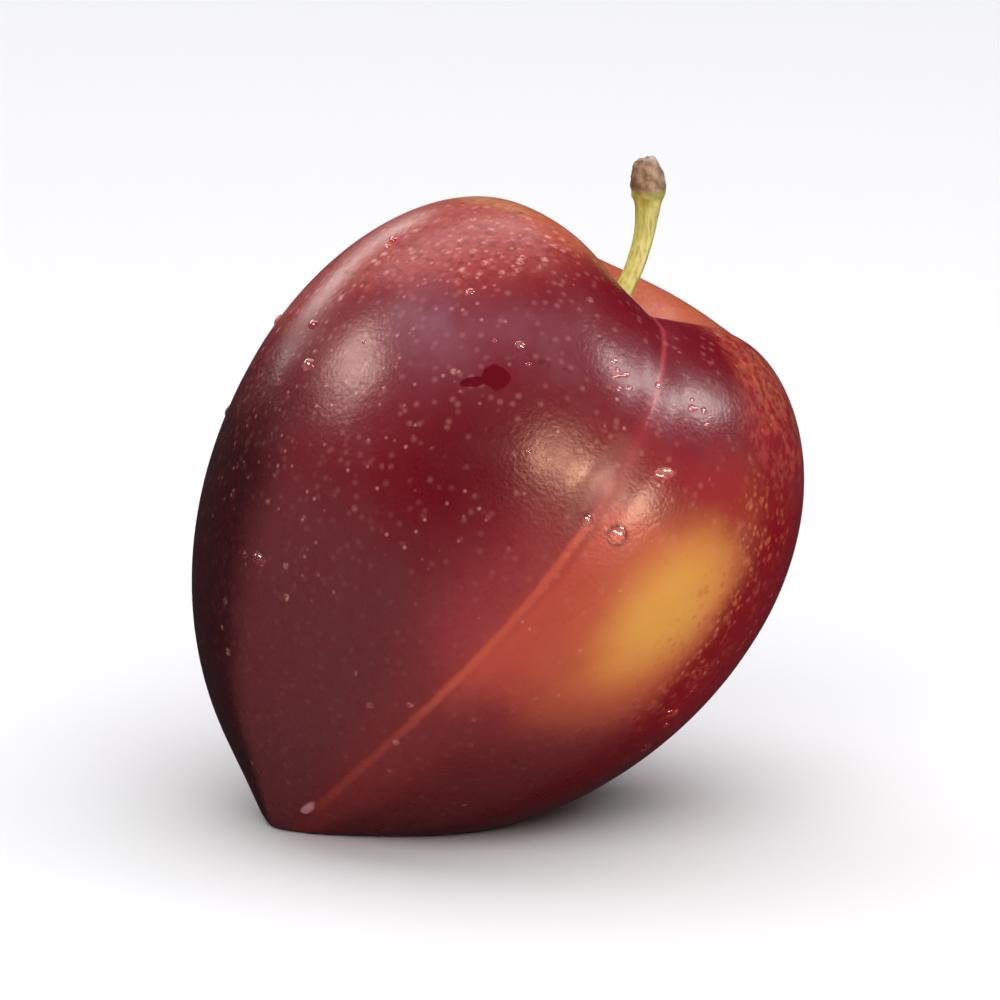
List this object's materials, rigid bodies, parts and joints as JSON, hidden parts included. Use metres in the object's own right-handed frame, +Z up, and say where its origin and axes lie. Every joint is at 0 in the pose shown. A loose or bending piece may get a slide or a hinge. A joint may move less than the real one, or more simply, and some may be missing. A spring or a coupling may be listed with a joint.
{
  "type": "plum",
  "caption": "Small heart-shaped dessert plum with a short curved stalk, resting on a small flat spot on its side.",
  "frame": {"origin": "centre of the small flat spot that the fruit rests on", "axes": "+Z up from the surface it rests on, +X towards the stalk end, -Y towards the side where the seam shows"},
  "size_m": [0.051, 0.0481, 0.054],
  "materials": {
    "plum_skin": "ripe crimson skin with a yellow blush, softly glossy",
    "stalk": "green stalk with a tan corky end, matt"
  },
  "bodies": {
    "root": {"fruit": "plum_skin", "stalk": "stalk"}
  },
  "joints": []
}
